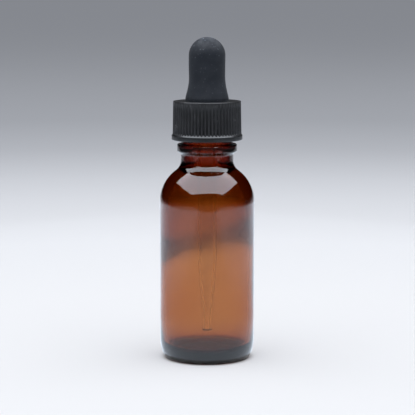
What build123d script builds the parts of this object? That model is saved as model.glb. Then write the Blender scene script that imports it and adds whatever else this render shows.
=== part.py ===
from build123d import *

import os
from math import acos, degrees, radians, sin

# An amber glass dropper bottle with a screw cap, a rubber bulb and a glass pipette.
# Millimetres. The origin is the middle of the base, on the surface the bottle stands on; +Z is up.

# ---- bottle body
body_radius = 14.25
foot_radius = 1.4            # small arc from the standing ring into the heel
heel_radius = 14.0           # large arc from the foot up to the straight wall
heel_top = 6.0
push_up_height = 1.2
push_up_radius = 10.6        # inner edge of the standing ring
shoulder_start = 47.5
shoulder_radius = 12.0
neck_radius = 7.86
neck_fillet = 3.0

# ---- inside of the bottle
wall = 1.95
floor_height = 3.4
inner_heel_radius = 3.0
bore_radius = 4.9
inner_neck_fillet = 3.0

# ---- screw finish: 18 mm continuous thread
bead_bottom = 62.6
bead_top = 65.2
bead_radius = 9.0
bead_edge = 0.5
finish_root_radius = 7.75
finish_top = 75.2
rim_edge = 0.6
thread_pitch = 3.175
thread_turns = 1.25
thread_depth = 1.07
thread_start = 69.2          # height of the thread's lower end
thread_root_width = 2.0
thread_crest_width = 0.8

# ---- cap
cap_bottom = 66.4
cap_top = 78.0
cap_band_top = 68.05
cap_band_radius = 10.66
skirt_radius_low = 10.36
skirt_radius_high = 10.17
cap_chamfer = 0.3
cap_bore_radius = 9.05
cap_hole_radius = 6.75
cap_ceiling = 76.7
rib_count = 60
groove_floor_radius = 9.93
groove_half_width = 0.42
groove_depth = 0.62
groove_end = 77.2
cap_thread_depth = 1.0
cap_thread_drop = 1.3        # the cap's thread runs this far under the bottle's thread
cap_thread_root_width = 1.6
cap_thread_crest_width = 0.7

# ---- rubber bulb
flange_radius = 8.3
collar_radius = 6.5
collar_top = 78.9
taper_top = 83.2
barrel_radius = 5.41
bulb_top = 97.1
bulb_wall = 1.5
taper_fillet = 4.0

# ---- glass pipette
tube_radius = 2.9
tube_bore_radius = 2.0
tip_height = 8.0
tip_radius = 1.6
tip_bore_radius = 0.6
tip_straight = 3.0
draw_top = 30.0              # where the drawn taper meets the full tube
flare_start = 80.6
flare_step = 0.6
flare_top = 82.4

sink = 0.3                   # how far a thread's root is set into its wall, so that the two fuse


def turn_between(offset, first_radius, second_radius):
    """Angle of two equal and opposite arcs that carry a wall sideways by offset."""
    return degrees(acos(1 - offset / (first_radius + second_radius)))


heel_turn = degrees(acos((heel_top - foot_radius) / (heel_radius - foot_radius)))
foot_start = body_radius - heel_radius + (heel_radius - foot_radius) * sin(radians(heel_turn))
push_up_arc = (push_up_radius**2 + push_up_height**2) / (2 * push_up_height)
push_up_turn = degrees(acos(1 - push_up_height / push_up_arc))
shoulder_turn = turn_between(body_radius - neck_radius, shoulder_radius, neck_fillet)

inner_radius = body_radius - wall
inner_shoulder_radius = shoulder_radius - wall
inner_turn = turn_between(inner_radius - bore_radius, inner_shoulder_radius, inner_neck_fillet)
inner_neck_start = shoulder_start + (inner_shoulder_radius + inner_neck_fillet) * sin(radians(inner_turn))

os.makedirs("parts", exist_ok=True)

# ---- bottle: one revolved wall with a helical thread on its finish
with BuildPart() as bottle:
    with BuildSketch(Plane.XZ):
        with BuildLine():
            push_up = JernArc((0, push_up_height), (1, 0), push_up_arc, -push_up_turn)
            standing_ring = Line(push_up @ 1, (foot_start, 0))
            foot = JernArc(standing_ring @ 1, (1, 0), foot_radius, heel_turn)
            heel = JernArc(foot @ 1, foot % 1, heel_radius, 90 - heel_turn)
            side = Line(heel @ 1, (body_radius, shoulder_start))
            shoulder = JernArc(side @ 1, (0, 1), shoulder_radius, shoulder_turn)
            neck_curve = JernArc(shoulder @ 1, shoulder % 1, neck_fillet, -shoulder_turn)
            finish = FilletPolyline(
                neck_curve @ 1,
                (neck_radius, bead_bottom),
                (bead_radius, bead_bottom),
                (bead_radius, bead_top),
                (finish_root_radius, bead_top),
                (finish_root_radius, finish_top),
                (bore_radius, finish_top),
                (bore_radius, inner_neck_start),
                radius=(bead_edge, bead_edge, bead_edge, bead_edge, rim_edge, rim_edge),
            )
            inner_neck = JernArc(finish @ 1, (0, -1), inner_neck_fillet, inner_turn)
            inner_shoulder = JernArc(inner_neck @ 1, inner_neck % 1, inner_shoulder_radius, -inner_turn)
            inner_side = Line(inner_shoulder @ 1, (inner_radius, floor_height + inner_heel_radius))
            inner_heel = JernArc(inner_side @ 1, (0, -1), inner_heel_radius, -90)
            floor_line = Line(inner_heel @ 1, (0, floor_height))
            Line(floor_line @ 1, push_up @ 0)
        make_face()
    revolve(axis=Axis.Z)

    with BuildLine() as bottle_helix:
        Helix(
            thread_pitch,
            thread_turns * thread_pitch,
            finish_root_radius,
            center=(0, 0, thread_start),
        )
    helix_line = bottle_helix.line
    with BuildSketch(Plane(origin=helix_line @ 0, x_dir=(1, 0, 0), z_dir=helix_line % 0)):
        Polygon(
            (-sink, -thread_root_width / 2),
            (0, -thread_root_width / 2),
            (thread_depth, -thread_crest_width / 2),
            (thread_depth, thread_crest_width / 2),
            (0, thread_root_width / 2),
            (-sink, thread_root_width / 2),
            align=None,
        )
    sweep(path=helix_line, is_frenet=True)

bottle.part.label = "bottle"
export_step(bottle.part, "parts/bottle.step")

# ---- cap: ribbed skirt over a plain band, open in the top, with a thread inside
with BuildPart() as cap:
    with BuildSketch(Plane.XZ):
        with BuildLine():
            Polyline(
                (cap_hole_radius, cap_ceiling),
                (cap_bore_radius, cap_ceiling),
                (cap_bore_radius, cap_bottom),
                (cap_band_radius, cap_bottom),
                (cap_band_radius, cap_band_top),
                (skirt_radius_low, cap_band_top),
                (skirt_radius_high, cap_top - cap_chamfer),
                (skirt_radius_high - cap_chamfer, cap_top),
                (cap_hole_radius, cap_top),
                close=True,
            )
        make_face()
    revolve(axis=Axis.Z)

    with BuildSketch(Plane.XY.offset(cap_band_top)):
        with PolarLocations(groove_floor_radius, rib_count):
            Polygon(
                (0, 0),
                (groove_depth, -groove_half_width),
                (groove_depth, groove_half_width),
                align=None,
            )
    extrude(amount=groove_end - cap_band_top, mode=Mode.SUBTRACT)

    with BuildLine() as cap_helix:
        Helix(
            thread_pitch,
            thread_turns * thread_pitch,
            cap_bore_radius,
            center=(0, 0, thread_start - cap_thread_drop),
        )
    cap_helix_line = cap_helix.line
    with BuildSketch(Plane(origin=cap_helix_line @ 0, x_dir=(-1, 0, 0), z_dir=cap_helix_line % 0)):
        Polygon(
            (-sink, -cap_thread_root_width / 2),
            (0, -cap_thread_root_width / 2),
            (cap_thread_depth, -cap_thread_crest_width / 2),
            (cap_thread_depth, cap_thread_crest_width / 2),
            (0, cap_thread_root_width / 2),
            (-sink, cap_thread_root_width / 2),
            align=None,
        )
    sweep(path=cap_helix_line, is_frenet=True)

cap.part.label = "cap"
export_step(cap.part, "parts/cap.step")

# ---- bulb: a hollow rubber teat whose flange seals the rim and whose collar grips the tube
dome_start = bulb_top - barrel_radius
hollow_radius = barrel_radius - bulb_wall
seat_top = flare_start + hollow_radius - tube_radius
with BuildPart() as bulb:
    with BuildSketch(Plane.XZ):
        with BuildLine():
            collar = Polyline(
                (tube_radius, finish_top),
                (flange_radius, finish_top),
                (flange_radius, cap_ceiling),
                (collar_radius, cap_ceiling),
                (collar_radius, collar_top),
            )
            barrel = FilletPolyline(
                collar @ 1,
                (barrel_radius, taper_top),
                (barrel_radius, dome_start),
                radius=taper_fillet,
            )
            dome = JernArc(barrel @ 1, (0, 1), barrel_radius, 90)
            crown = Line(dome @ 1, (0, bulb_top - bulb_wall))
            hollow_dome = JernArc(crown @ 1, (1, 0), hollow_radius, -90)
            Polyline(
                hollow_dome @ 1,
                (hollow_radius, seat_top),
                (tube_radius, flare_start),
                (tube_radius, finish_top),
            )
        make_face()
    revolve(axis=Axis.Z)

bulb.part.label = "bulb"
export_step(bulb.part, "parts/bulb.step")

# ---- pipette: a glass tube, drawn to a fine tip, with a flare that seats in the bulb
with BuildPart() as pipette:
    with BuildSketch(Plane.XZ):
        with BuildLine():
            Polyline(
                (tip_bore_radius, tip_height),
                (tip_radius, tip_height),
                (tip_radius, tip_height + tip_straight),
                (tube_radius, draw_top),
                (tube_radius, flare_start),
                (tube_radius + flare_step, flare_start + flare_step),
                (tube_radius + flare_step, flare_top),
                (tube_bore_radius, flare_top),
                (tube_bore_radius, draw_top),
                (tip_bore_radius, tip_height + tip_straight),
                close=True,
            )
        make_face()
    revolve(axis=Axis.Z)

pipette.part.label = "pipette"
export_step(pipette.part, "parts/pipette.step")
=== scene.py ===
import logging
import math
from collections.abc import Callable, Mapping, Sequence
from dataclasses import dataclass, field
from enum import Enum
from typing import Any

import bpy
import numpy as np
from numpy.typing import NDArray
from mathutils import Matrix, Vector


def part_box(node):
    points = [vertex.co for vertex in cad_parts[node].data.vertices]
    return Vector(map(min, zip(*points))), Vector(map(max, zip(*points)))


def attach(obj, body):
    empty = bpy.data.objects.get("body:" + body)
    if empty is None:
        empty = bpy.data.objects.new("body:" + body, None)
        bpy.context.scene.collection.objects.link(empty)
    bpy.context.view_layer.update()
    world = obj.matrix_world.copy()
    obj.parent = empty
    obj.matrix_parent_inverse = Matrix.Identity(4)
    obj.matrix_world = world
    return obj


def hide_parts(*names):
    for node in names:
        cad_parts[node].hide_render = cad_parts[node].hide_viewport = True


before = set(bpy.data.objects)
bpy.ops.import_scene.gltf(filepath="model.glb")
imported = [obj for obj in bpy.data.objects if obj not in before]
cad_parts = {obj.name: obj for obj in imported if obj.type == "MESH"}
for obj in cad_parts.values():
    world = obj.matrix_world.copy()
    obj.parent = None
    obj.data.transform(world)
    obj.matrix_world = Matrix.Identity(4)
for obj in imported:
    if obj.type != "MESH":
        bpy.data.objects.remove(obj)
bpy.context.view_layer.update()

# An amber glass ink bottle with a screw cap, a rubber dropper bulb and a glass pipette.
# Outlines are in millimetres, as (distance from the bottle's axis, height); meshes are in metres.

Array = NDArray[np.float64]
Relief = Callable[[Array, Array, Array], tuple[Array, Array]]
Mesh = tuple[Array, list[list[int]]]

LOG = logging.getLogger("ink_bottle")
MM = 0.001
TAU = 2 * math.pi
ARC_STEP = math.radians(4)
SMALL_BEND = 0.3
SMALL_ARC_STEP = math.radians(11)


class Body(Enum):
    """The CAD bodies that pieces ride on."""

    BOTTLE = "bottle"
    DROPPER = "dropper"
    CAP = "cap"


class Slot(Enum):
    """The record's material slots."""

    AMBER = "amber_glass"
    PLASTIC = "black_plastic"
    RUBBER = "black_rubber"
    CLEAR = "clear_glass"


# ---------------------------------------------------------------------------------------------
# Shapes: outlines, reliefs and surfaces of revolution


def smooth(t: Array | float) -> Array:
    """Cubic step: 0 below 0, 1 above 1, and 3t^2 - 2t^3 between."""
    t = np.clip(t, 0.0, 1.0)
    return t * t * (3 - 2 * t)


def tangent_reach(bend: float, turn: float) -> float:
    """Distance from a corner to where its arc starts: the bend's radius times tan(turn / 2)."""
    return bend * math.tan(abs(turn) / 2)


@dataclass(frozen=True)
class Corner:
    """A corner of an outline, in millimetres.

    bend is the radius of the arc that rounds the corner, and spacing is the longest step allowed
    on the straight run that leads to it.
    """

    r: float
    z: float
    bend: float = 0.0
    spacing: float = 3.0


def outline(corners: Sequence[Corner], ring: bool = False) -> Array:
    """Points along a run of straight lines whose corners are rounded with arcs.

    An arc of radius b at a corner that turns by a starts b tan(a / 2) before the corner, and its
    points are the centre plus the first radius turned by 0 to a.

    Args:
        corners: the corners, with the material on the left of the direction of travel.
        ring: whether the outline closes on itself; if not, it starts and ends at its end corners.

    Returns:
        An array of (r, z) rows, in millimetres.
    """
    places = np.array([(c.r, c.z) for c in corners])
    pieces: list[Array] = []
    count = len(corners)
    for i, corner in enumerate(corners):
        here = places[i]
        if not ring and i in (0, count - 1) or corner.bend == 0:
            pieces.append(here[None, :])
            continue
        come = here - places[i - 1]
        leave = places[(i + 1) % count] - here
        come, leave = come / np.linalg.norm(come), leave / np.linalg.norm(leave)
        turn = math.atan2(come[0] * leave[1] - come[1] * leave[0], float(come @ leave))
        start = here - come * tangent_reach(corner.bend, turn)
        side = math.copysign(1.0, turn)
        centre = start + side * corner.bend * np.array([-come[1], come[0]])
        step = ARC_STEP if corner.bend > SMALL_BEND else SMALL_ARC_STEP
        angles = np.linspace(0, turn, max(3, math.ceil(abs(turn) / step) + 1))
        arm = start - centre
        swing = np.stack(
            [
                arm[0] * np.cos(angles) - arm[1] * np.sin(angles),
                arm[0] * np.sin(angles) + arm[1] * np.cos(angles),
            ],
            axis=1,
        )
        pieces.append(centre + swing)
    filled: list[Array] = []
    for i, piece in enumerate(pieces):
        if i or ring:
            last = pieces[i - 1][-1]
            steps = math.ceil(float(np.linalg.norm(piece[0] - last)) / corners[i].spacing)
            shares = np.linspace(0, 1, max(steps, 1) + 1)[1:-1]
            filled.append(last + (piece[0] - last) * shares[:, None])
        filled.append(piece)
    points = np.concatenate(filled)
    gaps = np.linalg.norm(np.diff(points, axis=0), axis=1)
    return points[np.concatenate([[True], gaps > 1e-6])]


def grid(points: Array, columns: int, relief: Relief | None = None) -> Array:
    """Carries an outline round the axis: the point (r, z) at angle a is (r cos a, r sin a, z).

    Args:
        points: the outline's (r, z) rows, in millimetres.
        columns: how many angles there are in the full turn.
        relief: gives what to add to r and z at each (r, z, a), in millimetres.

    Returns:
        An array of rows by columns by 3, in metres.
    """
    angle = np.arange(columns) * TAU / columns
    r, a = np.meshgrid(points[:, 0], angle, indexing="ij")
    z, _ = np.meshgrid(points[:, 1], angle, indexing="ij")
    if relief is not None:
        dr, dz = relief(r, z, a)
        r, z = r + np.where(r > 0, dr, 0.0), z + dz
    return np.stack([r * np.cos(a), r * np.sin(a), z], axis=-1) * MM


def quads(rows: int, columns: int, first: int, ring: bool = False) -> Array:
    """Faces of a grid whose columns close on themselves, and whose rows do too if it is a ring."""
    row = np.arange(rows if ring else rows - 1)[:, None]
    column = np.arange(columns)[None, :]
    after, beside = (row + 1) % rows, (column + 1) % columns
    faces = [row * columns + column, row * columns + beside, after * columns + beside]
    faces.append(after * columns + column)
    return first + np.stack(faces, axis=-1).reshape(-1, 4)


def fan(pole: int, rim: Array, pole_first: bool) -> Array:
    """Triangles between a pole and the ring of vertices round it."""
    ahead = np.roll(rim, -1)
    centre = np.full_like(rim, pole)
    order = (centre, ahead, rim) if pole_first else (rim, ahead, centre)
    return np.stack(order, axis=-1)


def revolve(points: Array, columns: int, relief: Relief | None = None, ring: bool = False) -> Mesh:
    """A closed surface of revolution, whose poles are single vertices.

    Args:
        points: the outline, which starts and ends on the axis unless it is a ring.
        columns: how many angles there are in the full turn.
        relief: what to add to the plain surface, as for grid.
        ring: whether the outline closes on itself away from the axis.

    Returns:
        Vertices in metres, and faces that point away from the material.
    """
    if ring:
        body = grid(points, columns, relief)
        return body.reshape(-1, 3), quads(len(points), columns, 0, ring=True).tolist()
    body = grid(points[1:-1], columns, relief)
    rows = len(body)
    ends = grid(points[[0, -1]], 1)[:, 0]
    vertices = np.concatenate([body.reshape(-1, 3), ends])
    low, high = rows * columns, rows * columns + 1
    first_row, last_row = np.arange(columns), (rows - 1) * columns + np.arange(columns)
    faces = quads(rows, columns, 0).tolist()
    faces += fan(low, first_row, pole_first=True).tolist()
    faces += fan(high, last_row, pole_first=False).tolist()
    return vertices, faces


def joined(first: Mesh, second: Mesh) -> Mesh:
    """Two meshes as one."""
    count = len(first[0])
    faces = [[index + count for index in face] for face in second[1]]
    return np.concatenate([first[0], second[0]]), first[1] + faces


def bridge(fine: Array, coarse: Array, fine_first: bool) -> list[list[int]]:
    """Flat faces between a ring of vertices and a coarser one that divides it.

    Args:
        fine: indices round the finer ring.
        coarse: indices round the coarser ring.
        fine_first: whether the finer ring comes first in the direction of travel.

    Returns:
        One many-sided face for each step of the coarser ring.
    """
    share = len(fine) // len(coarse)
    along = (np.arange(len(coarse))[:, None] * share + np.arange(share + 1)) % len(fine)
    near, far = coarse[:, None], np.roll(coarse, -1)[:, None]
    if fine_first:
        return np.concatenate([fine[along], far, near], axis=1).tolist()
    return np.concatenate([near, far, fine[along[:, ::-1]]], axis=1).tolist()


@dataclass(frozen=True)
class Thread:
    """A right-hand helical thread, in millimetres, whose ends fade into the wall."""

    start: float
    pitch: float = 3.175
    turns: float = 1.25
    depth: float = 1.07
    root: float = 2.0
    crest: float = 0.8
    fade: float = math.radians(35)

    def height(self, z: Array, angle: Array) -> Array:
        """Height above the wall at (z, angle).

        On each lap the thread's middle climbs by the pitch for a full turn. The height is the
        depth times a smooth ramp across the flank and a smooth ramp along each end.
        """
        best = np.zeros_like(z)
        length = self.turns * TAU
        for lap in range(math.ceil(self.turns)):
            along = angle + TAU * lap
            away = np.abs(z - self.start - self.pitch * along / TAU)
            flank = smooth((self.root / 2 - away) / ((self.root - self.crest) / 2))
            ends = smooth(along / self.fade) * smooth((length - along) / self.fade)
            best = np.maximum(best, flank * ends)
        return self.depth * best


def build_piece(name: str, mesh: Mesh, crease: float | None = None) -> bpy.types.Object:
    """Makes an object at the origin from vertices and faces.

    Args:
        name: the piece's name.
        mesh: vertices in metres and faces.
        crease: the angle past which an edge stays sharp, in degrees, or None for no sharp edge.

    Returns:
        The new object, linked to the scene.
    """
    vertices, faces = mesh
    data = bpy.data.meshes.new(name)
    data.from_pydata(vertices.tolist(), [], faces)
    data.polygons.foreach_set("use_smooth", np.ones(len(data.polygons), dtype=bool))
    if crease is not None:
        data.set_sharp_from_angle(angle=math.radians(crease))
    data.update()
    piece = bpy.data.objects.new(name, data)
    bpy.context.scene.collection.objects.link(piece)
    return piece


def only_in_mirrors(piece: bpy.types.Object) -> None:
    """Hides a piece of the studio from all but glossy surfaces."""
    piece.visible_camera = False
    piece.visible_diffuse = False
    piece.visible_transmission = False
    piece.visible_volume_scatter = False
    piece.visible_shadow = False


def settle(piece: bpy.types.Object, body: Body, node: str) -> None:
    """Puts a piece on its CAD body, in place of its CAD node, and reports it."""
    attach(piece, body.value)
    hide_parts(node)
    LOG.info("%s: %d faces, rides on %s", piece.name, len(piece.data.polygons), body.value)


# ---------------------------------------------------------------------------------------------
# Shader arithmetic


class Signal:
    """A shader socket that can be used in Python arithmetic, which adds Math nodes."""

    def __init__(self, graph: "Graph", socket: bpy.types.NodeSocket) -> None:
        """Wraps an output socket of a node in that graph."""
        self.graph = graph
        self.socket = socket

    def of(self, name: str) -> "Signal":
        """Another output of the same node."""
        return Signal(self.graph, self.socket.node.outputs[name])

    def combine(self, operation: str, first: Any, second: Any = 0.0) -> "Signal":
        """One Math node on two values, of which some operations use only the first."""
        return self.graph.node("ShaderNodeMath", {"operation": operation}, {0: first, 1: second})

    def __add__(self, other: Any) -> "Signal":
        """Sum."""
        return self.combine("ADD", self, other)

    def __sub__(self, other: Any) -> "Signal":
        """Difference."""
        return self.combine("SUBTRACT", self, other)

    def __rsub__(self, other: Any) -> "Signal":
        """Difference from a number."""
        return self.combine("SUBTRACT", other, self)

    def __mul__(self, other: Any) -> "Signal":
        """Product."""
        return self.combine("MULTIPLY", self, other)

    def __truediv__(self, other: Any) -> "Signal":
        """Quotient."""
        return self.combine("DIVIDE", self, other)

    __radd__ = __add__
    __rmul__ = __mul__

    def between(self, low: float, high: float) -> "Signal":
        """0 below low, 1 above high, and a smooth step between."""
        settings = {"interpolation_type": "SMOOTHSTEP"}
        values = {"Value": self, "From Min": low, "From Max": high}
        return self.graph.node("ShaderNodeMapRange", settings, values)


class Graph:
    """The nodes of one material."""

    def __init__(self, name: str) -> None:
        """Starts a material that holds only its output node."""
        self.material = bpy.data.materials.new(name)
        self.material.use_nodes = True
        self.tree = self.material.node_tree
        self.tree.nodes.clear()
        self.output = self.tree.nodes.new("ShaderNodeOutputMaterial")

    def node(
        self,
        kind: str,
        settings: Mapping[str, Any] | None = None,
        values: Mapping[str | int, Any] | None = None,
    ) -> Signal:
        """Adds a node: its settings first, then the values or links of its inputs.

        Args:
            kind: the node's type.
            settings: the node's own properties; "stops" is a list of (place, colour) for a ramp.
            values: what goes into each input, by name or number: a number, a colour or a Signal.

        Returns:
            The node's first output that is in use.
        """
        made = self.tree.nodes.new(kind)
        for key, value in (settings or {}).items():
            if key == "stops":
                elements = made.color_ramp.elements
                while len(elements) < len(value):
                    elements.new(1.0)
                for element, (place, colour) in zip(elements, value):
                    element.position, element.color = place, (*colour, 1.0)
            else:
                setattr(made, key, value)
        for key, value in (values or {}).items():
            if isinstance(value, Signal):
                self.tree.links.new(value.socket, made.inputs[key])
            else:
                made.inputs[key].default_value = value
        return Signal(self, next(s for s in made.outputs if s.enabled))

    def place(self) -> Signal:
        """Object coordinates, in metres."""
        return self.node("ShaderNodeTexCoord").of("Object")

    def height(self) -> Signal:
        """Height above the surface the bottle stands on, in millimetres."""
        return self.node("ShaderNodeSeparateXYZ", None, {0: self.place()}).of("Z") / MM

    def underside(self) -> Signal:
        """1 where a face is seen from behind, and 0 elsewhere."""
        return self.node("ShaderNodeNewGeometry").of("Backfacing")

    def noise(
        self, size: float, detail: float = 2.0, stretch: tuple[float, float, float] = (1, 1, 1)
    ) -> Signal:
        """Noise from 0 to 1 whose features are about size millimetres across, times stretch."""
        scale = tuple(1 / s for s in stretch)
        spot = self.node("ShaderNodeVectorMath", {"operation": "MULTIPLY"}, {0: self.place(), 1: scale})
        values = {"Vector": spot, "Scale": 1 / (size * MM), "Detail": detail}
        return self.node("ShaderNodeTexNoise", None, values)

    def specks(self, size: float, spread: float) -> Signal:
        """1 in small round specks that lie about size millimetres apart, and 0 elsewhere."""
        values = {"Vector": self.place(), "Scale": 1 / (size * MM)}
        return 1 - self.node("ShaderNodeTexVoronoi", None, values).between(0.0, spread)

    def blend(self, share: Signal | float, first: Any, second: Any) -> Signal:
        """A colour that goes from first to second as share goes from 0 to 1."""
        settings = {"data_type": "RGBA"}
        ends = {6: first, 7: second}
        colours = {k: (*v, 1.0) if isinstance(v, tuple) else v for k, v in ends.items()}
        return self.node("ShaderNodeMix", settings, {0: share, **colours})

    def bump(self, height: Signal, depth: float) -> Signal:
        """A normal from a height of 0 to 1 that stands for depth millimetres."""
        return self.node("ShaderNodeBump", None, {"Distance": depth * MM, "Height": height})

    def surface(self, values: Mapping[str, Any], clear: Signal | None = None) -> None:
        """Ends the material in a Principled shader with those inputs.

        Args:
            values: the shader's inputs.
            clear: where it is 1 the surface lets everything through, or None for nowhere.
        """
        shader = self.node("ShaderNodeBsdfPrincipled", None, values)
        if clear is not None:
            through = self.node("ShaderNodeBsdfTransparent")
            shader = self.node("ShaderNodeMixShader", None, {0: clear, 1: shader, 2: through})
        self.tree.links.new(shader.socket, self.output.inputs["Surface"])

    def volume(self, colour: tuple[float, float, float], density: float) -> None:
        """Absorbs light inside the piece: density times (1 - colour), for each metre of path."""
        values = {"Color": (*colour, 1.0), "Density": density}
        inside = self.node("ShaderNodeVolumeAbsorption", None, values)
        self.tree.links.new(inside.socket, self.output.inputs["Volume"])


# ---------------------------------------------------------------------------------------------
# Finishes


@dataclass(frozen=True)
class MouldedGlass:
    """Moulded or drawn glass: a little wavy, a little smeared by handling, and tinted in depth.

    loss is what a metre of glass takes from red, green and blue, as an exponent.
    """

    name: str
    loss: tuple[float, float, float]
    ior: float = 1.52
    wave_size: float = 9.0
    wave_depth: float = 0.015
    stretch: tuple[float, float, float] = (1, 1, 1)
    smear: float = 0.06
    clean: tuple[float, float, float] = (1.0, 1.0, 1.0)
    handled: tuple[float, float, float] = (0.9, 0.89, 0.88)

    def material(self) -> bpy.types.Material:
        """Builds the material: waves and fine pits bump it, and smears roughen and grey it."""
        graph = Graph(self.name)
        waves = graph.noise(self.wave_size, 1.5, self.stretch)
        pits = graph.noise(0.7, 2.0)
        relief = graph.bump(waves + pits * 0.03, self.wave_depth)
        smears = graph.noise(9.0, 4.0, (1, 1, 2.2)).between(0.56, 0.8)
        lint = graph.specks(2.6, 0.05) * graph.noise(14.0, 1.0).between(0.45, 0.6)
        graph.surface(
            {
                "Base Color": graph.blend(smears * 0.5 + lint * 0.3, self.clean, self.handled),
                "Roughness": smears * self.smear + lint * 0.15,
                "Transmission Weight": 1.0,
                "IOR": self.ior,
                "Normal": relief,
            }
        )
        density = max(self.loss)
        red, green, blue = (1 - loss / density for loss in self.loss)
        graph.volume((red, green, blue), density)
        return graph.material


@dataclass(frozen=True)
class RibbedPlastic:
    """Black moulded plastic: satin, lighter on its rib crests, partly from wear and partly as painted shade
    in its grooves, with dust in its grooves.
    """

    name: str = "satin_black_plastic"
    black: tuple[float, float, float] = (0.006, 0.0065, 0.0075)
    crest_wear_and_groove_shade: tuple[float, float, float] = (0.060, 0.060, 0.066)
    dust: tuple[float, float, float] = (0.07, 0.071, 0.073)
    fleck: tuple[float, float, float] = (0.26, 0.26, 0.27)
    top_start: float = 77.85
    top_end: float = 78.0

    def material(self) -> bpy.types.Material:
        """Builds the material from the crest attribute, which is 1 on a rib and 0 in a groove."""
        graph = Graph(self.name)
        crest = graph.node("ShaderNodeAttribute", {"attribute_name": "crest"}).of("Fac")
        mottle = graph.noise(2.5, 4.0)
        grain = graph.noise(0.16, 3.0)
        scuffs = graph.noise(1.2, 5.0, (1, 1, 3)).between(0.58, 0.74) * crest
        settled = (1 - crest) * graph.noise(1.8, 3.0).between(0.55, 0.8)
        flecks = graph.specks(1.6, 0.14) * mottle.between(0.5, 0.62)
        # Crests are lighter than grooves: partly wear, partly painted shade in the grooves.
        crest_wear_and_groove_shade = graph.blend(scuffs * 0.7 + crest * mottle * 0.5, self.black, self.crest_wear_and_groove_shade)
        # The top face is made lighter: the dust grey is mixed in over it.
        on_top = graph.height().between(self.top_start, self.top_end) * mottle
        dust_and_lighter_top = graph.blend(settled * 0.2 + on_top * 0.6, crest_wear_and_groove_shade, self.dust)
        graph.surface(
            {
                "Base Color": graph.blend(flecks * 0.6, dust_and_lighter_top, self.fleck),
                "Roughness": 0.24 + mottle * 0.1 + settled * 0.2 + grain * 0.06 - scuffs * 0.04,
                "IOR": 1.49,
                "Normal": graph.bump(grain * 0.7 + mottle * 0.3, 0.012),
            }
        )
        return graph.material


@dataclass(frozen=True)
class BulbRubber:
    """Matt black rubber with a bloom and specks of dust that thicken towards its top, partly dust and
    partly painted light from above.
    """

    name: str = "matt_black_rubber"
    rubber: tuple[float, float, float] = (0.006, 0.009, 0.015)
    bloom: tuple[float, float, float] = (0.068, 0.075, 0.088)
    dust: tuple[float, float, float] = (0.29, 0.33, 0.40)
    dust_and_top_light_from: float = 92.0
    dust_and_top_light_to: float = 97.5

    def material(self) -> bpy.types.Material:
        """Builds the material: height sets how much bloom and dust lie on the rubber, and so paints its top
        lighter, as if lit from above.
        """
        graph = Graph(self.name)
        # Bloom and specks grow towards the top: partly dust, partly painted light from above.
        dust_and_top_light = graph.height().between(self.dust_and_top_light_from, self.dust_and_top_light_to)
        cloud = graph.noise(2.4, 5.0)
        grain = graph.noise(0.22, 3.0)
        bloom = cloud.between(0.35, 0.75) * (0.12 + dust_and_top_light * 0.88)
        flecks = graph.specks(1.5, 0.2) * cloud.between(0.42, 0.56) * (0.2 + dust_and_top_light * 0.8)
        fine = graph.specks(0.8, 0.36) * graph.noise(1.3, 2.0).between(0.45, 0.6) * (0.1 + dust_and_top_light * 0.9)
        skin = graph.blend(bloom * 0.75, self.rubber, self.bloom)
        graph.surface(
            {
                "Base Color": graph.blend(flecks * 0.75 + fine * 0.65, skin, self.dust),
                "Roughness": 0.62 + cloud * 0.2 + flecks * 0.15,
                "IOR": 1.46,
                "Specular IOR Level": 0.2,
                "Sheen Weight": 0.05,
                "Sheen Roughness": 0.5,
                "Normal": graph.bump(grain * 0.6 + cloud * 0.5 + fine * 0.3, 0.03),
            }
        )
        return graph.material


@dataclass(frozen=True)
class PaperSweep:
    """Pale studio paper, painted darker and bluer the further off it lies, as a painted falloff of the
    softbox's light.

    glow is the room's even light on the paper, given as light of the paper's own. tones are the
    paper's painted greys of that falloff, each with the share at which it lies.
    """

    glow: tuple[float, float, float]
    name: str = "pale_paper"
    reach: float = 0.6
    shade_start: float = 0.012
    shade_end: float = 0.015
    falloff_tones: tuple[tuple[float, float], ...] = (
        (0.15, 0.480),
        (0.28, 0.457),
        (0.39, 0.36),
        (0.44, 0.30),
        (0.52, 0.17),
        (0.60, 0.105),
    )

    def material(self) -> bpy.types.Material:
        """Builds the material from the distance d to the bottle, as the share d / (d + reach): a painted
        falloff of light in its colour, and a painted shadow under the bottle's foot in its glow.
        """
        graph = Graph(self.name)
        level = {0: graph.place(), 1: (1, 1, 0)}
        flat = graph.node("ShaderNodeVectorMath", {"operation": "MULTIPLY"}, level)
        distance = graph.node("ShaderNodeVectorMath", {"operation": "LENGTH"}, {0: flat}).of("Value")
        share = distance / (distance + self.reach)
        # The greys paint the softbox's light falling off with distance: darker and bluer further out.
        stops = [(at, (tone, tone * (1 + at / 20), tone * (1 + at / 6))) for at, tone in self.falloff_tones]
        paper = graph.node("ShaderNodeValToRGB", {"stops": stops}, {0: share}).of("Color")
        # The glow stops under the bottle's foot: a painted shadow where the bottle keeps the room's light
        # off the paper.
        lit = distance.between(self.shade_start, self.shade_end)
        fibre = graph.noise(0.5, 3.0)
        graph.surface(
            {
                "Base Color": graph.blend(fibre.between(0.3, 0.7) * 0.02, paper, (0.1, 0.1, 0.1)),
                "Emission Color": graph.blend(lit, (0.0, 0.0, 0.0), self.glow),
                "Emission Strength": 1.0,
                "Roughness": 0.75 + fibre * 0.1,
                "Specular IOR Level": 0.25,
                "Normal": graph.bump(fibre, 0.01),
            }
        )
        return graph.material


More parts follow.
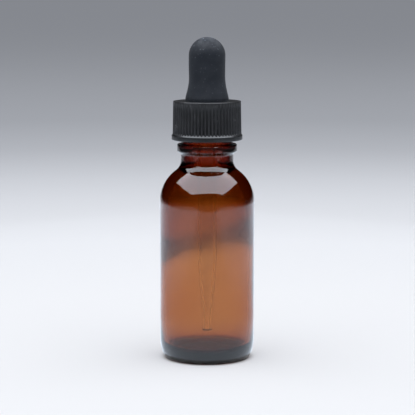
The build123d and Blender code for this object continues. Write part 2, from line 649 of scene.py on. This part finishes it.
@dataclass(frozen=True)
class PaintedReflectionCard:
    """A glowing card on the table, a painted reflection of a brightly lit table, brighter beside the bottle
    and close to it than in front.

    Places are in millimetres from the bottle's axis. Its underside lets everything through.
    """

    name: str = "painted_reflection_card"
    colour: tuple[float, float, float] = (0.88, 0.98, 1.12)
    front: float = 0.9
    side: float = 1.5
    behind: float = 1.3
    side_start: float = 80.0
    side_end: float = 200.0
    behind_end: float = 120.0
    close_start: float = 90.0
    close_end: float = 35.0

    def material(self) -> bpy.types.Material:
        """Builds the material: its painted light steps up to each side, behind and close to the foot."""
        graph = Graph(self.name)
        spot = graph.node("ShaderNodeSeparateXYZ", None, {0: graph.place()})
        out = spot.combine("ABSOLUTE", spot.of("X")) / MM
        side = out.between(self.side_start, self.side_end) * (self.side - self.front)
        behind = (spot.of("Y") / MM).between(0.0, self.behind_end) * (self.behind - self.front)
        distance = graph.node("ShaderNodeVectorMath", {"operation": "LENGTH"}, {0: graph.place()})
        apart = (distance.of("Value") / MM).between(self.close_end, self.close_start)
        close = (1 - apart) * (self.side - self.front)
        raised = side.combine("MAXIMUM", side.combine("MAXIMUM", side, behind), close)
        share = (raised + self.front) / self.side
        graph.surface(
            {
                "Base Color": (0.0, 0.0, 0.0, 1.0),
                "Specular IOR Level": 0.0,
                # The card's glow is painted light, a painted reflection of a bright table, and not a lamp.
                "Emission Color": graph.blend(share, (0.0, 0.0, 0.0), self.colour),
                "Emission Strength": self.side,
            },
            clear=graph.underside(),
        )
        return graph.material


@dataclass(frozen=True)
class PaintedShadeSheet:
    """Matt near-black sheet beyond the table's edges, painted shade, whose underside lets everything
    through.
    """

    name: str = "painted_dark_sheet"
    black: tuple[float, float, float] = (0.004, 0.004, 0.004)
    thread: tuple[float, float, float] = (0.012, 0.012, 0.012)

    def material(self) -> bpy.types.Material:
        """Builds the material: nearly black, with faint noise."""
        graph = Graph(self.name)
        sheet_noise = graph.noise(3.0, 2.0)
        graph.surface(
            {
                "Base Color": graph.blend(sheet_noise * 0.5, self.black, self.thread),
                "Roughness": 0.9,
            },
            clear=graph.underside(),
        )
        return graph.material


@dataclass(frozen=True)
class SoftboxFace:
    """The diffuser of the softbox: bright, and a little uneven over its lamps."""

    name: str = "softbox_diffuser"
    glow: float = 5.6
    bright: tuple[float, float, float] = (0.93, 0.98, 1.07)
    dim: tuple[float, float, float] = (0.87, 0.92, 1.01)
    patch: float = 500.0

    def material(self) -> bpy.types.Material:
        """Builds the material: its light varies by a few hundredths over half a metre."""
        graph = Graph(self.name)
        uneven = graph.noise(self.patch, 1.0)
        graph.surface(
            {
                "Base Color": (0.0, 0.0, 0.0, 1.0),
                "Emission Color": graph.blend(uneven, self.bright, self.dim),
                "Emission Strength": self.glow,
            }
        )
        return graph.material


# ---------------------------------------------------------------------------------------------
# The bottle's pieces


@dataclass
class Bottle:
    """The amber glass bottle, from its push-up base to its threaded finish, in millimetres."""

    body_radius: float
    finish_top: float
    columns: int = 240
    foot_bend: float = 1.4
    heel_bend: float = 14.0
    heel_top: float = 6.0
    push_up: float = 1.2
    push_up_radius: float = 10.6
    shoulder_start: float = 47.5
    shoulder_bend: float = 12.0
    neck_radius: float = 7.86
    neck_bend: float = 3.6
    wall: float = 1.95
    floor_height: float = 3.4
    inner_heel_bend: float = 2.2
    bore_radius: float = 4.9
    inner_neck_bend: float = 3.0
    bead_low: float = 62.6
    bead_high: float = 65.2
    bead_radius: float = 9.0
    finish_radius: float = 7.75
    settle_height: float = 36.0
    settle_lean: float = 0.23
    settle_spread: float = 3.5
    thick: float = 0.36
    thin: float = -0.4
    shoulder_thick: float = 0.95
    shoulder_middle: float = 56.5
    shoulder_spread: float = 5.5
    wide_wave: float = 0.05
    narrow_wave: float = 0.04
    uneven_from: float = 5.0
    uneven_to: float = 57.5
    seed_place: tuple[float, float, float] = (-6.0, -11.75, 4.9)
    seed_radius: float = 0.45
    seam_height: float = 0.05
    seam_width: float = 0.22
    notch_count: int = 60
    notch_depth: float = 0.16
    notch_radius: float = 12.1
    thread: Thread = field(default_factory=lambda: Thread(start=69.2))

    @staticmethod
    def turn_between(offset: float, first: float, second: float) -> float:
        """Angle of two equal and opposite arcs that carry a wall sideways by offset."""
        return math.acos(1 - offset / (first + second))

    def shoulder(self, wide: float, narrow: float, bend: float, neck_bend: float) -> list[Corner]:
        """The two corners of a shoulder, from the body's wall to the neck's, going up.

        The shoulder's arc and the neck's arc meet on a line that leans by the same turn as both.
        """
        turn = self.turn_between(wide - narrow, bend, neck_bend)
        neck_start = self.shoulder_start + (bend + neck_bend) * math.sin(turn)
        return [
            Corner(wide, self.shoulder_start + tangent_reach(bend, turn), bend),
            Corner(narrow, neck_start - tangent_reach(neck_bend, turn), neck_bend),
        ]

    def corners(self) -> list[Corner]:
        """The whole section: underside, outside, rim, inside and floor."""
        lean = math.acos((self.heel_top - self.foot_bend) / (self.heel_bend - self.foot_bend))
        foot = self.body_radius - self.heel_bend + (self.heel_bend - self.foot_bend) * math.sin(lean)
        inner_radius = self.body_radius - self.wall
        inside = self.shoulder(
            inner_radius, self.bore_radius, self.shoulder_bend - self.wall, self.inner_neck_bend
        )
        return [
            Corner(0, self.push_up),
            Corner(self.push_up_radius * 0.45, self.push_up, 20, 1.5),
            Corner(self.push_up_radius, 0.0, 0.4, 1.5),
            Corner(foot + tangent_reach(self.foot_bend, lean), 0, self.foot_bend, 0.25),
            Corner(
                self.body_radius,
                self.heel_top - tangent_reach(self.heel_bend, math.pi / 2 - lean),
                self.heel_bend,
            ),
            *self.shoulder(self.body_radius, self.neck_radius, self.shoulder_bend, self.neck_bend),
            Corner(self.neck_radius, self.bead_low, 0.8, 0.8),
            Corner(self.bead_radius, self.bead_low + 0.1, 0.5),
            Corner(self.bead_radius, self.bead_high, 0.5),
            Corner(self.finish_radius, self.bead_high, 0.5),
            Corner(self.finish_radius, self.finish_top - 0.02, 0.6, 0.11),
            Corner(self.bore_radius, self.finish_top - 0.02, 0.6),
            *inside[::-1],
            Corner(inner_radius, self.floor_height, self.inner_heel_bend),
            Corner(0, self.floor_height + 0.3, 0, 1.5),
        ]

    def relief(self, r: Array, z: Array, angle: Array) -> tuple[Array, Array]:
        """The thread, two mould seams, grip notches under the foot and an uneven inner wall.

        Rows past the rim are the inside. The thread adds its own height to the finish. A seam is
        a narrow bell over the angle at each side, kept within the body's radius. The notches lift
        the standing ring by a raised cosine. The inner wall settles thin below a leaning plane and
        thick above it, by a smooth step across the plane. It goes in and out by a sum of two slow
        waves round the axis and up it, and thickens at the shoulder by a bell over the height.
        """
        inside = np.arange(len(z))[:, None] > np.argmax(z[:, 0])
        on_finish = ~inside & (r > self.finish_radius - 0.3) & (z > self.bead_high + 0.4)
        dr = np.where(on_finish, self.thread.height(z, angle), 0.0)
        seam = self.seam_height * np.exp(-((np.sin(angle) * r / self.seam_width) ** 2))
        seamed = ~inside & (z < self.bead_low - 0.6) & (r < self.body_radius - 0.01)
        room = self.body_radius - r
        dr += np.where(seamed, np.minimum(seam * smooth((z - 2) / 2), room), 0.0)
        slow = self.wide_wave * np.sin(2 * angle + z / 9)
        slow = slow + self.narrow_wave * np.sin(3 * angle - z / 6 + 1.0)
        above = z - self.settle_height - self.settle_lean * r * np.cos(angle)
        step = smooth(above / (2 * self.settle_spread) + 0.5)
        thickening = self.thin + (self.thick - self.thin) * step - slow
        fade = smooth((z - self.uneven_from) / 3) * smooth((self.uneven_to - z) / 6)
        from_middle = (z - self.shoulder_middle) / self.shoulder_spread
        thickening = thickening * fade + self.shoulder_thick * np.exp(-(from_middle**2))
        dr -= np.where(inside, thickening, 0.0)
        inner_edge = smooth((r - self.push_up_radius + 0.3) / 0.5)
        ring = inner_edge * smooth((self.notch_radius - r) / 0.5)
        notch = 0.5 - 0.5 * np.cos(self.notch_count * angle)
        dz = np.where(z < 0.25, self.notch_depth * notch * ring, 0.0)
        return dr, dz

    def seed(self) -> Mesh:
        """A bubble of air in the glass: a small sphere whose faces point into the bubble."""
        size = self.seed_radius
        bend = size * 0.999
        profile = [Corner(0, size), Corner(size, size, bend), Corner(size, -size, bend)]
        vertices, faces = revolve(outline([*profile, Corner(0, -size)]), 16)
        return vertices + np.array(self.seed_place) * MM, faces

    def build(self, finish: MouldedGlass) -> bpy.types.Object:
        """Builds the bottle as one closed wall of glass round its bubble, and dresses it."""
        mesh = revolve(outline(self.corners()), self.columns, self.relief)
        piece = build_piece("amber_bottle", joined(mesh, self.seed()))
        piece.data.materials.append(finish.material())
        settle(piece, Body.BOTTLE, "bottle")
        return piece


@dataclass
class Cap:
    """The ribbed screw cap, open in its top round the bulb's collar, in millimetres."""

    bottom: float
    top: float
    ribs: int = 60
    steps_per_rib: int = 12
    inner_columns: int = 180
    ledge: float = 67.76
    band_radius: float = 10.66
    skirt_low: float = 10.36
    skirt_high: float = 10.17
    groove_floor: float = 9.93
    groove_end: float = 77.25
    bore_radius: float = 9.05
    hole_radius: float = 6.75
    ceiling: float = 76.72
    groove_power: float = 1.6
    groove_fade: float = 0.5
    crease: float = 50.0
    thread: Thread = field(
        default_factory=lambda: Thread(start=67.9, depth=1.0, root=1.6, crest=0.7)
    )

    def outer_corners(self) -> list[Corner]:
        """The outside, from the bottom edge up the band and skirt, over the rim and into the hole."""
        return [
            Corner(self.band_radius - 0.3, self.bottom),
            Corner(self.band_radius, self.bottom, 0.22),
            Corner(self.band_radius, self.ledge, 0.05),
            Corner(self.skirt_low, self.ledge + self.band_radius - self.skirt_low, 0.03, 0.1),
            Corner(self.skirt_low - 0.01, self.ledge + 1.0, 5.0, 0.08),
            Corner(self.skirt_high, self.top, 0.14, 1.0),
            Corner(self.hole_radius, self.top, 0.2),
            Corner(self.hole_radius, self.ceiling),
        ]

    def inner_corners(self) -> list[Corner]:
        """The inside wall, from the ceiling down to the mouth."""
        return [
            Corner(self.bore_radius, self.ceiling),
            Corner(self.bore_radius, self.bottom + 0.3, 0.2, 0.12),
            Corner(self.bore_radius + 0.2, self.bottom),
        ]

    def groove(self, z: Array, angle: Array) -> Array:
        """How deep in a groove each point is, from 0 on a rib's crest to 1 on the groove's floor.

        It is the raised cosine of the rib angle, sharpened by a power so that ribs are wider than
        grooves, and it fades at the ribs' upper end.
        """
        wave = (0.5 + 0.5 * np.cos(self.ribs * angle)) ** self.groove_power
        return wave * smooth((self.groove_end - z) / self.groove_fade)

    def outer_relief(self, r: Array, z: Array, angle: Array) -> tuple[Array, Array]:
        """Cuts the grooves down to their floor, as far as the ledge, which slopes at 45 degrees."""
        depth = np.where((z > self.ledge) & (r > self.groove_floor), r - self.groove_floor, 0.0)
        cut = r - depth * self.groove(z, angle)
        slope = self.band_radius - (z - self.ledge)
        return np.maximum(cut, np.minimum(slope, r)) - r, np.zeros_like(z)

    def inner_relief(self, r: Array, z: Array, angle: Array) -> tuple[Array, Array]:
        """The inside thread, which stands in from the bore."""
        return -self.thread.height(z, angle), np.zeros_like(z)

    def build(self, finish: RibbedPlastic) -> bpy.types.Object:
        """Builds a fine outer grid and a coarser inner one, joined by flat rings."""
        columns = self.ribs * self.steps_per_rib
        outside, inside = outline(self.outer_corners()), outline(self.inner_corners())
        outer = grid(outside, columns, self.outer_relief)
        inner = grid(inside, self.inner_columns, self.inner_relief)
        first = outer.shape[0] * columns
        faces = quads(outer.shape[0], columns, 0).tolist()
        faces += quads(inner.shape[0], self.inner_columns, first).tolist()
        round_fine, round_coarse = np.arange(columns), np.arange(self.inner_columns)
        last_inner = first + (inner.shape[0] - 1) * self.inner_columns
        faces += bridge((outer.shape[0] - 1) * columns + round_fine, first + round_coarse, True)
        faces += bridge(round_fine, last_inner + round_coarse, False)
        vertices = np.concatenate([outer.reshape(-1, 3), inner.reshape(-1, 3)])
        piece = build_piece("screw_cap", (vertices, faces), self.crease)
        angle = np.arange(columns) * TAU / columns
        height, turn = np.meshgrid(outside[:, 1], angle, indexing="ij")
        crest = np.ones(len(vertices), np.float32)
        above_ledge = height > self.ledge + 0.2
        crest[:first] = ((1 - self.groove(height, turn)) * above_ledge).ravel()
        layer = piece.data.attributes.new("crest", "FLOAT", "POINT")
        layer.data.foreach_set("value", crest)
        piece.data.materials.append(finish.material())
        settle(piece, Body.CAP, "cap")
        return piece


@dataclass
class Bulb:
    """The hollow rubber bulb, with its collar and its sealing flange, in millimetres."""

    flange_low: float
    top: float
    columns: int = 144
    flange_radius: float = 8.3
    flange_high: float = 76.68
    collar_radius: float = 6.5
    collar_top: float = 78.9
    taper_top: float = 83.2
    barrel_radius: float = 5.41
    wall: float = 1.5
    bore_radius: float = 2.93
    seat: float = 80.6
    wide_wave: float = 0.035
    narrow_wave: float = 0.025
    seam_height: float = 0.05
    seam_width: float = 0.15

    def corners(self) -> list[Corner]:
        """The whole section: the hollow from its top down, the bore, the flange and the outside."""
        hollow = self.barrel_radius - self.wall
        dome, inner_dome = self.barrel_radius - 0.01, hollow - 0.01
        return [
            Corner(0, self.top - self.wall),
            Corner(hollow, self.top - self.wall, inner_dome),
            Corner(hollow, self.seat + hollow - self.bore_radius, 0.3),
            Corner(self.bore_radius, self.seat, 0.2),
            Corner(self.bore_radius, self.flange_low, 0.1),
            Corner(self.flange_radius, self.flange_low, 0.25),
            Corner(self.flange_radius, self.flange_high, 0.25),
            Corner(self.collar_radius, self.flange_high, 0.1),
            Corner(self.collar_radius, self.collar_top, 1.6, 0.5),
            Corner(self.barrel_radius, self.taper_top, 18.0, 0.5),
            Corner(self.barrel_radius, self.top, dome, 0.6),
            Corner(0, self.top),
        ]

    def relief(self, r: Array, z: Array, angle: Array) -> tuple[Array, Array]:
        """Two slow waves that leave it a little out of round, and a fine parting line at each side.

        Both fade out at the top and at the collar. Rows past the lowest one are the outside.
        """
        outside = np.arange(len(z))[:, None] > np.argmin(z[:, 0])
        waves = self.wide_wave * np.sin(2 * angle + z / 2.3)
        waves = waves + self.narrow_wave * np.sin(3 * angle - z / 1.7)
        seam = self.seam_height * np.exp(-((np.sin(angle) * r / self.seam_width) ** 2))
        fade = smooth((self.top - z) / 4) * smooth((z - self.collar_top) / 2)
        dr = np.where(outside, (waves + seam) * fade, 0.0)
        return dr, np.zeros_like(z)

    def build(self, finish: BulbRubber) -> bpy.types.Object:
        """Builds the bulb as one closed wall of rubber and dresses it."""
        piece = build_piece("rubber_bulb", revolve(outline(self.corners()), self.columns, self.relief))
        piece.data.materials.append(finish.material())
        settle(piece, Body.DROPPER, "bulb")
        return piece


@dataclass
class Pipette:
    """The glass dropper tube, drawn to a fine tip and flared where the bulb holds it, in mm."""

    tip: float
    top: float
    columns: int = 96
    tube_radius: float = 2.88
    bore_radius: float = 2.0
    tip_radius: float = 1.6
    tip_bore: float = 0.6
    tip_straight: float = 3.0
    draw_top: float = 30.0
    flare_start: float = 80.6
    flare_step: float = 0.6

    def corners(self) -> list[Corner]:
        """The section as a ring: up the outside from the tip, over the flare and down the bore."""
        flare = self.tube_radius + self.flare_step
        straight = self.tip + self.tip_straight
        return [
            Corner(self.tip_bore, self.tip, 0.3),
            Corner(self.tip_radius, self.tip, 0.5),
            Corner(self.tip_radius, straight, 9.0, 0.8),
            Corner(self.tube_radius, self.draw_top, 30.0),
            Corner(self.tube_radius, self.flare_start, 0.3),
            Corner(flare, self.flare_start + self.flare_step, 0.4),
            Corner(flare, self.top, 0.42),
            Corner(self.bore_radius, self.top, 0.3),
            Corner(self.bore_radius, self.draw_top, 30.0),
            Corner(self.tip_bore, straight, 9.0, 0.8),
        ]

    def build(self, finish: MouldedGlass) -> bpy.types.Object:
        """Builds the tube as one closed wall of glass and dresses it."""
        mesh = revolve(outline(self.corners(), ring=True), self.columns, ring=True)
        piece = build_piece("glass_pipette", mesh)
        piece.data.materials.append(finish.material())
        settle(piece, Body.DROPPER, "pipette")
        return piece


# ---------------------------------------------------------------------------------------------
# Studio


@dataclass
class Studio:
    """A pale paper sweep, one wide overhead softbox and the camera.

    The softbox is a light that mirrors nowhere and a face that only mirrors show, so that the
    light on the bottle and the brightness of its reflections are set apart.

    Sizes are in metres, except that the softbox's width, depth and shift forward and how far its
    face reaches are shares of its height, and that the card's and the dark sheet's lift and the
    paper's drop are in millimetres.
    """

    camera_distance: float = 0.4977
    camera_height: float = 0.1126
    camera_side: float = 0.00013
    camera_pitch: float = 7.65
    lens: float = 144.0
    box_height: float = 1.3
    box_lift: float = 0.055
    box_width: float = 2.7
    box_depth: float = 2.05
    box_forward: float = 0.2
    face_near: float = 1.5
    face_far: float = 0.52
    box_power: float = 62.0
    room_tone: tuple[float, float, float] = (0.235, 0.246, 0.273)
    table_near: float = -0.40
    table_side: float = 0.48
    card_foot: float = 0.0146
    card_radius: float = 0.42
    card_rings: int = 24
    card_lift: float = 0.1
    dark_sheet_lift: float = 0.8
    dark_sheet_reach: float = 6.0
    paper_foot: float = 0.02
    paper_radius: float = 20.0
    paper_rings: int = 60
    paper_drop: float = 0.03
    columns: int = 64

    def camera(self) -> None:
        """Stands the camera in front of the bottle, tipped down by its pitch."""
        data = bpy.data.cameras.new("camera")
        data.lens = self.lens
        camera = bpy.data.objects.new("camera", data)
        camera.location = (self.camera_side, -self.camera_distance, self.camera_height)
        camera.rotation_euler = (math.radians(90 - self.camera_pitch), 0, 0)
        bpy.context.scene.collection.objects.link(camera)
        bpy.context.scene.camera = camera

    def rings(self, inner: float, outer: float, count: int, level: float) -> Array:
        """Level rings from the outer radius to the inner, which shrink by a constant ratio."""
        radii = np.geomspace(inner, outer, count) / MM
        return grid(np.stack([radii, np.full_like(radii, level)], axis=1)[::-1], self.columns)

    def paper(self, finish: PaperSweep) -> None:
        """Lays the paper: rings round the bottle, closed by a fan under it."""
        body = self.rings(self.paper_foot, self.paper_radius, self.paper_rings, -self.paper_drop)
        vertices = np.concatenate([body.reshape(-1, 3), [[0, 0, -self.paper_drop * MM]]])
        faces = quads(len(body), self.columns, 0).tolist()
        last_ring = (len(body) - 1) * self.columns + np.arange(self.columns)
        faces += fan(len(vertices) - 1, last_ring, pole_first=False).tolist()
        floor = build_piece("paper_sweep", (vertices, faces))
        floor.data.materials.append(finish.material())

    def card(self, finish: PaintedReflectionCard) -> None:
        """Lays a ring of glowing card on the paper round the bottle's foot, which only mirrors show: a
        painted reflection of a bright table.
        """
        body = self.rings(self.card_foot, self.card_radius, self.card_rings, self.card_lift)
        faces = quads(len(body), self.columns, 0).tolist()
        ring = build_piece("painted_reflection_card", (body.reshape(-1, 3), faces))
        ring.data.materials.append(finish.material())
        only_in_mirrors(ring)

    def softbox(self) -> None:
        """Hangs a wide softbox over the bottle."""
        height = self.box_height
        data = bpy.data.lights.new("overhead_softbox", "AREA")
        data.shape = "RECTANGLE"
        data.size, data.size_y = self.box_width * height, self.box_depth * height
        data.energy = self.box_power
        light = bpy.data.objects.new("overhead_softbox", data)
        light.location = (0, -self.box_forward * height, height + self.box_lift)
        light.visible_glossy = False
        bpy.context.scene.collection.objects.link(light)

    def dark_sheet(self, finish: PaintedShadeSheet) -> None:
        """Lays a dark sheet just over the paper beyond the table's near and side edges, as painted shade.

        Only mirrors show it, so that the bottle reflects a table and not an endless floor.
        """
        near, side, out = self.table_near, self.table_side, self.dark_sheet_reach
        lift = self.dark_sheet_lift * MM
        boxes = [(-out, -out, out, near), (-out, near, -side, out), (side, near, out, out)]
        corners = [
            [(x0, y0, lift), (x1, y0, lift), (x1, y1, lift), (x0, y1, lift)] for x0, y0, x1, y1 in boxes
        ]
        faces = np.arange(4 * len(boxes)).reshape(-1, 4).tolist()
        # The sheet is painted shade: it darkens the reflections beyond the lit table.
        dark_sheet = build_piece("painted_shade_sheet", (np.array(corners).reshape(-1, 3), faces))
        dark_sheet.data.materials.append(finish.material())
        only_in_mirrors(dark_sheet)

    def softbox_face(self, finish: SoftboxFace) -> None:
        """Hangs the softbox's bright face, which reaches further forward than back."""
        height = self.box_height
        side, level = self.box_width / 2 * height, height + self.box_lift
        near, far = -self.face_near * height, self.face_far * height
        corners = [(-side, near, level), (-side, far, level), (side, far, level), (side, near, level)]
        face = build_piece("softbox_face", (np.array(corners), [[0, 1, 2, 3]]))
        face.data.materials.append(finish.material())
        only_in_mirrors(face)

    def room(self) -> None:
        """Paints the room an even grey, which lights nothing and which glossy surfaces don't mirror."""
        world = bpy.data.worlds.new("room")
        world.use_nodes = True
        world.node_tree.nodes["Background"].inputs["Color"].default_value = (*self.room_tone, 1.0)
        world.cycles_visibility.glossy = False
        world.cycles_visibility.diffuse = False
        bpy.context.scene.world = world
        bpy.context.scene.view_settings.view_transform = "Standard"

    def build(self) -> None:
        """Sets up the whole studio."""
        self.camera()
        self.paper(PaperSweep(glow=self.room_tone))
        self.softbox()
        self.softbox_face(SoftboxFace())
        self.card(PaintedReflectionCard())
        self.dark_sheet(PaintedShadeSheet())
        self.room()


def main() -> None:
    """Builds the studio and the bottle's pieces."""
    logging.basicConfig(level=logging.INFO, format="%(name)s: %(message)s")
    bottle_low, bottle_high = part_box("bottle")
    cap_low, cap_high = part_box("cap")
    bulb_low, bulb_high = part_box("bulb")
    tube_low, tube_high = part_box("pipette")
    Studio().build()
    amber = MouldedGlass("amber_glass", loss=(268.0, 620.0, 1120.0))
    clear = MouldedGlass(
        "clear_glass", loss=(14.0, 9.0, 12.0), ior=1.42, wave_size=5.0, wave_depth=0.001, stretch=(1, 1, 12)
    )
    Bottle(body_radius=bottle_high.x / MM, finish_top=bottle_high.z / MM).build(amber)
    Pipette(tip=tube_low.z / MM, top=tube_high.z / MM).build(clear)
    Bulb(flange_low=bulb_low.z / MM + 0.02, top=bulb_high.z / MM).build(BulbRubber())
    Cap(bottom=cap_low.z / MM, top=cap_high.z / MM).build(RibbedPlastic())


if __name__ == "__main__":
    main()
